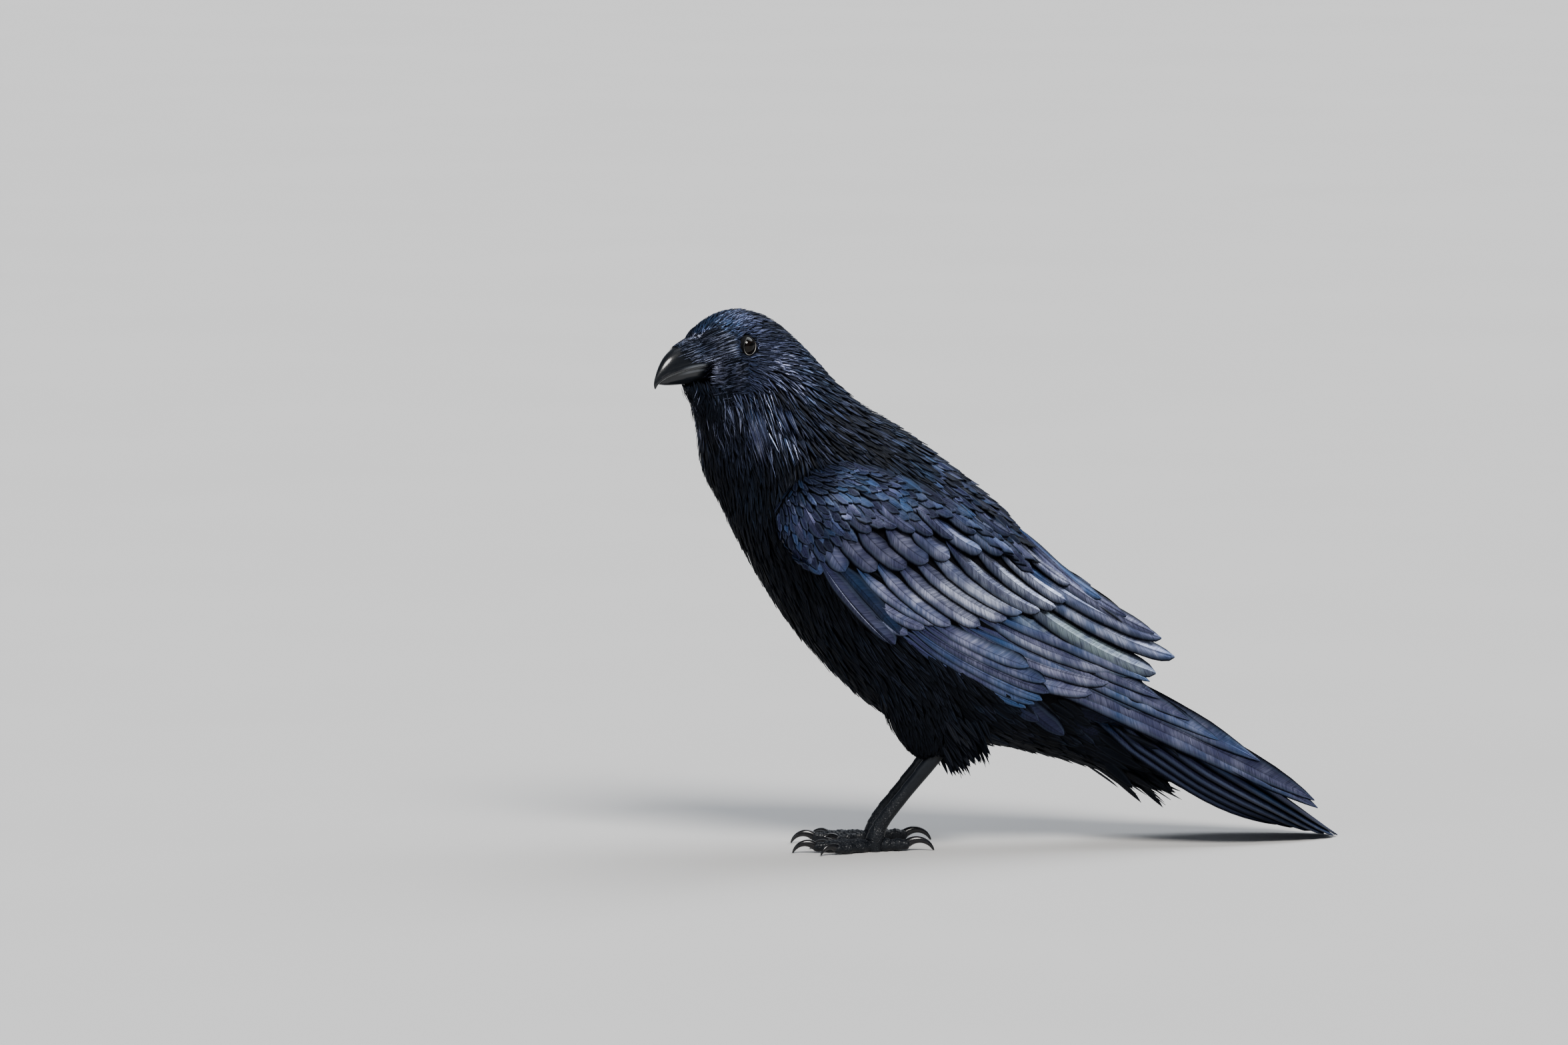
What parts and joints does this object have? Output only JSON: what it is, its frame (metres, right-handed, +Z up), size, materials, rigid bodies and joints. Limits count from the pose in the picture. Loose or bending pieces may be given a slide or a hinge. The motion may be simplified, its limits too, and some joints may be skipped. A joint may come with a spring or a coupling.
{
  "type": "common raven, still life-size model",
  "caption": "Still model of a large black crow standing with folded wings, head turned to one side and tail tip on the floor.",
  "frame": {"origin": "on the floor, below the middle of the bird's box", "axes": "+Z up, the bird faces -Y, its left side is +X"},
  "size_m": [0.1384, 0.4892, 0.373],
  "materials": {
    "plumage": "glossy black feather with blue and violet sheen",
    "horn": "polished black horn",
    "scaly_skin": "black scaled skin",
    "eye": "wet dark brown"
  },
  "bodies": {
    "root": {"bill_upper": "horn", "bill_lower": "horn", "eye_left": "eye", "eye_right": "eye", "head": "plumage", "neck": "plumage", "trunk": "plumage", "tail": "plumage", "wing_left": "plumage", "wing_right": "plumage", "primaries_left": "plumage", "primaries_right": "plumage", "thigh_left": "plumage", "thigh_right": "plumage", "shank_left": "scaly_skin", "shank_right": "scaly_skin", "toe_left_middle": "scaly_skin", "claw_left_middle": "horn", "toe_left_inner": "scaly_skin", "claw_left_inner": "horn", "toe_left_outer": "scaly_skin", "claw_left_outer": "horn", "toe_left_back": "scaly_skin", "claw_left_back": "horn", "toe_right_middle": "scaly_skin", "claw_right_middle": "horn", "toe_right_inner": "scaly_skin", "claw_right_inner": "horn", "toe_right_outer": "scaly_skin", "claw_right_outer": "horn", "toe_right_back": "scaly_skin", "claw_right_back": "horn"}
  },
  "joints": []
}
